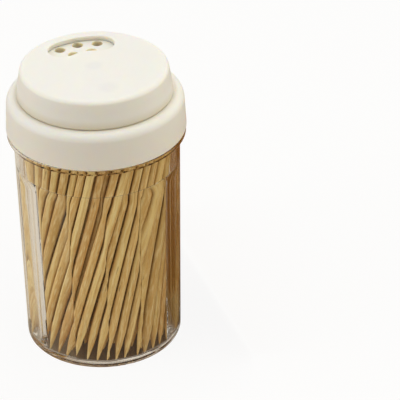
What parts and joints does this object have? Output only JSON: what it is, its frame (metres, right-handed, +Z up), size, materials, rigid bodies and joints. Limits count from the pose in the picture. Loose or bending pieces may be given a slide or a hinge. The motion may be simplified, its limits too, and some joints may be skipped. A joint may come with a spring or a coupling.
{
  "type": "toothpick dispenser",
  "caption": "Clear round jar with a faceted inside, full of double-pointed toothpicks, under a white snap cap whose dial opens small holes or one larger hole.",
  "frame": {"origin": "centre of the jar's foot, on the surface that it stands on", "axes": "+Z up along the jar and the dial's pivot; +Y towards the cap's five small holes, -Y towards its single larger hole"},
  "size_m": [0.044, 0.044, 0.0757],
  "materials": {
    "clear_plastic": "clear, polished",
    "cap_plastic": "satin, slightly translucent",
    "dial_plastic": "satin, slightly translucent",
    "bamboo": "bare, fine lengthwise grain"
  },
  "bodies": {
    "jar": {"jar": "clear_plastic", "toothpicks_inner_01": "bamboo", "toothpicks_inner_02": "bamboo", "toothpicks_inner_03": "bamboo", "toothpicks_inner_04": "bamboo", "toothpicks_inner_05": "bamboo", "toothpicks_inner_06": "bamboo", "toothpicks_inner_07": "bamboo", "toothpicks_inner_08": "bamboo", "toothpicks_inner_09": "bamboo", "toothpicks_inner_10": "bamboo", "toothpicks_inner_11": "bamboo", "toothpicks_inner_12": "bamboo", "toothpicks_outer_01": "bamboo", "toothpicks_outer_02": "bamboo", "toothpicks_outer_03": "bamboo", "toothpicks_outer_04": "bamboo", "toothpicks_outer_05": "bamboo", "toothpicks_outer_06": "bamboo", "toothpicks_outer_07": "bamboo", "toothpicks_outer_08": "bamboo", "toothpicks_outer_09": "bamboo", "toothpicks_outer_10": "bamboo", "toothpicks_outer_11": "bamboo", "toothpicks_outer_12": "bamboo"},
    "cap": {"cap": "cap_plastic"},
    "dial": {"dial": "dial_plastic"}
  },
  "joints": [
    {"name": "cap_lift", "type": "slide", "parent": "jar", "child": "cap", "axis": [0, 0, 1], "range_m": [0, 0.03]},
    {"name": "dial_turn", "type": "hinge", "parent": "cap", "child": "dial", "pos_m": [0, 0, 0.0744], "axis": [0, 0, 1], "continuous": true}
  ]
}
